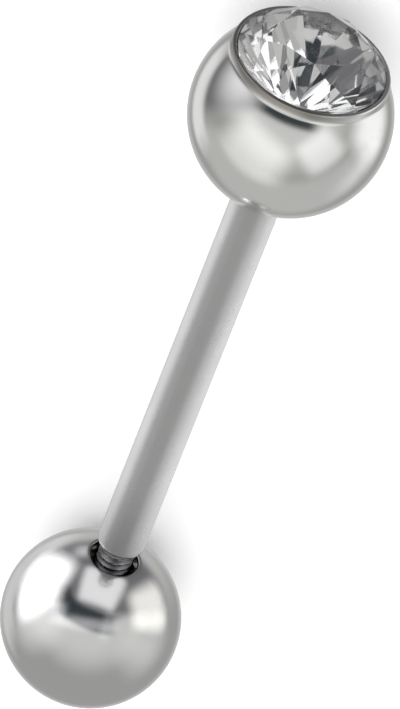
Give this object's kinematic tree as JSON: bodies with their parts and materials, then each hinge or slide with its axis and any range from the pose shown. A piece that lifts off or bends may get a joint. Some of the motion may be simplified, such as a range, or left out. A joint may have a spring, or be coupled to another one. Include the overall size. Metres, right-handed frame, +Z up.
{
  "type": "tongue barbell",
  "caption": "Straight steel barbell piercing: a slim round post with a plain ball screwed on one end and a larger ball holding a faceted clear stone on the other.",
  "frame": {"origin": "middle of the barbell's length, on the surface that it lies on", "axes": "+X along the post towards the stone, +Z up; the barbell lies on its side on its two balls, and as they differ in size its axis rises 0.63 degrees towards +X"},
  "size_m": [0.0288, 0.0064, 0.0065],
  "materials": {
    "satin_steel": "satin surgical steel, finely brushed round the bar",
    "polished_steel": "mirror-polished surgical steel",
    "clear_crystal": "clear faceted crystal with a foiled back"
  },
  "bodies": {
    "barbell": {"post": "satin_steel", "jewelled_ball": "polished_steel", "stone": "clear_crystal"},
    "screw_ball": {"plain_ball": "polished_steel"}
  },
  "joints": [
    {"name": "ball_unscrew", "type": "slide", "parent": "barbell", "child": "screw_ball", "axis": [0.9999, 0, 0.0111], "range_m": [-0.02, 0.0008]}
  ]
}
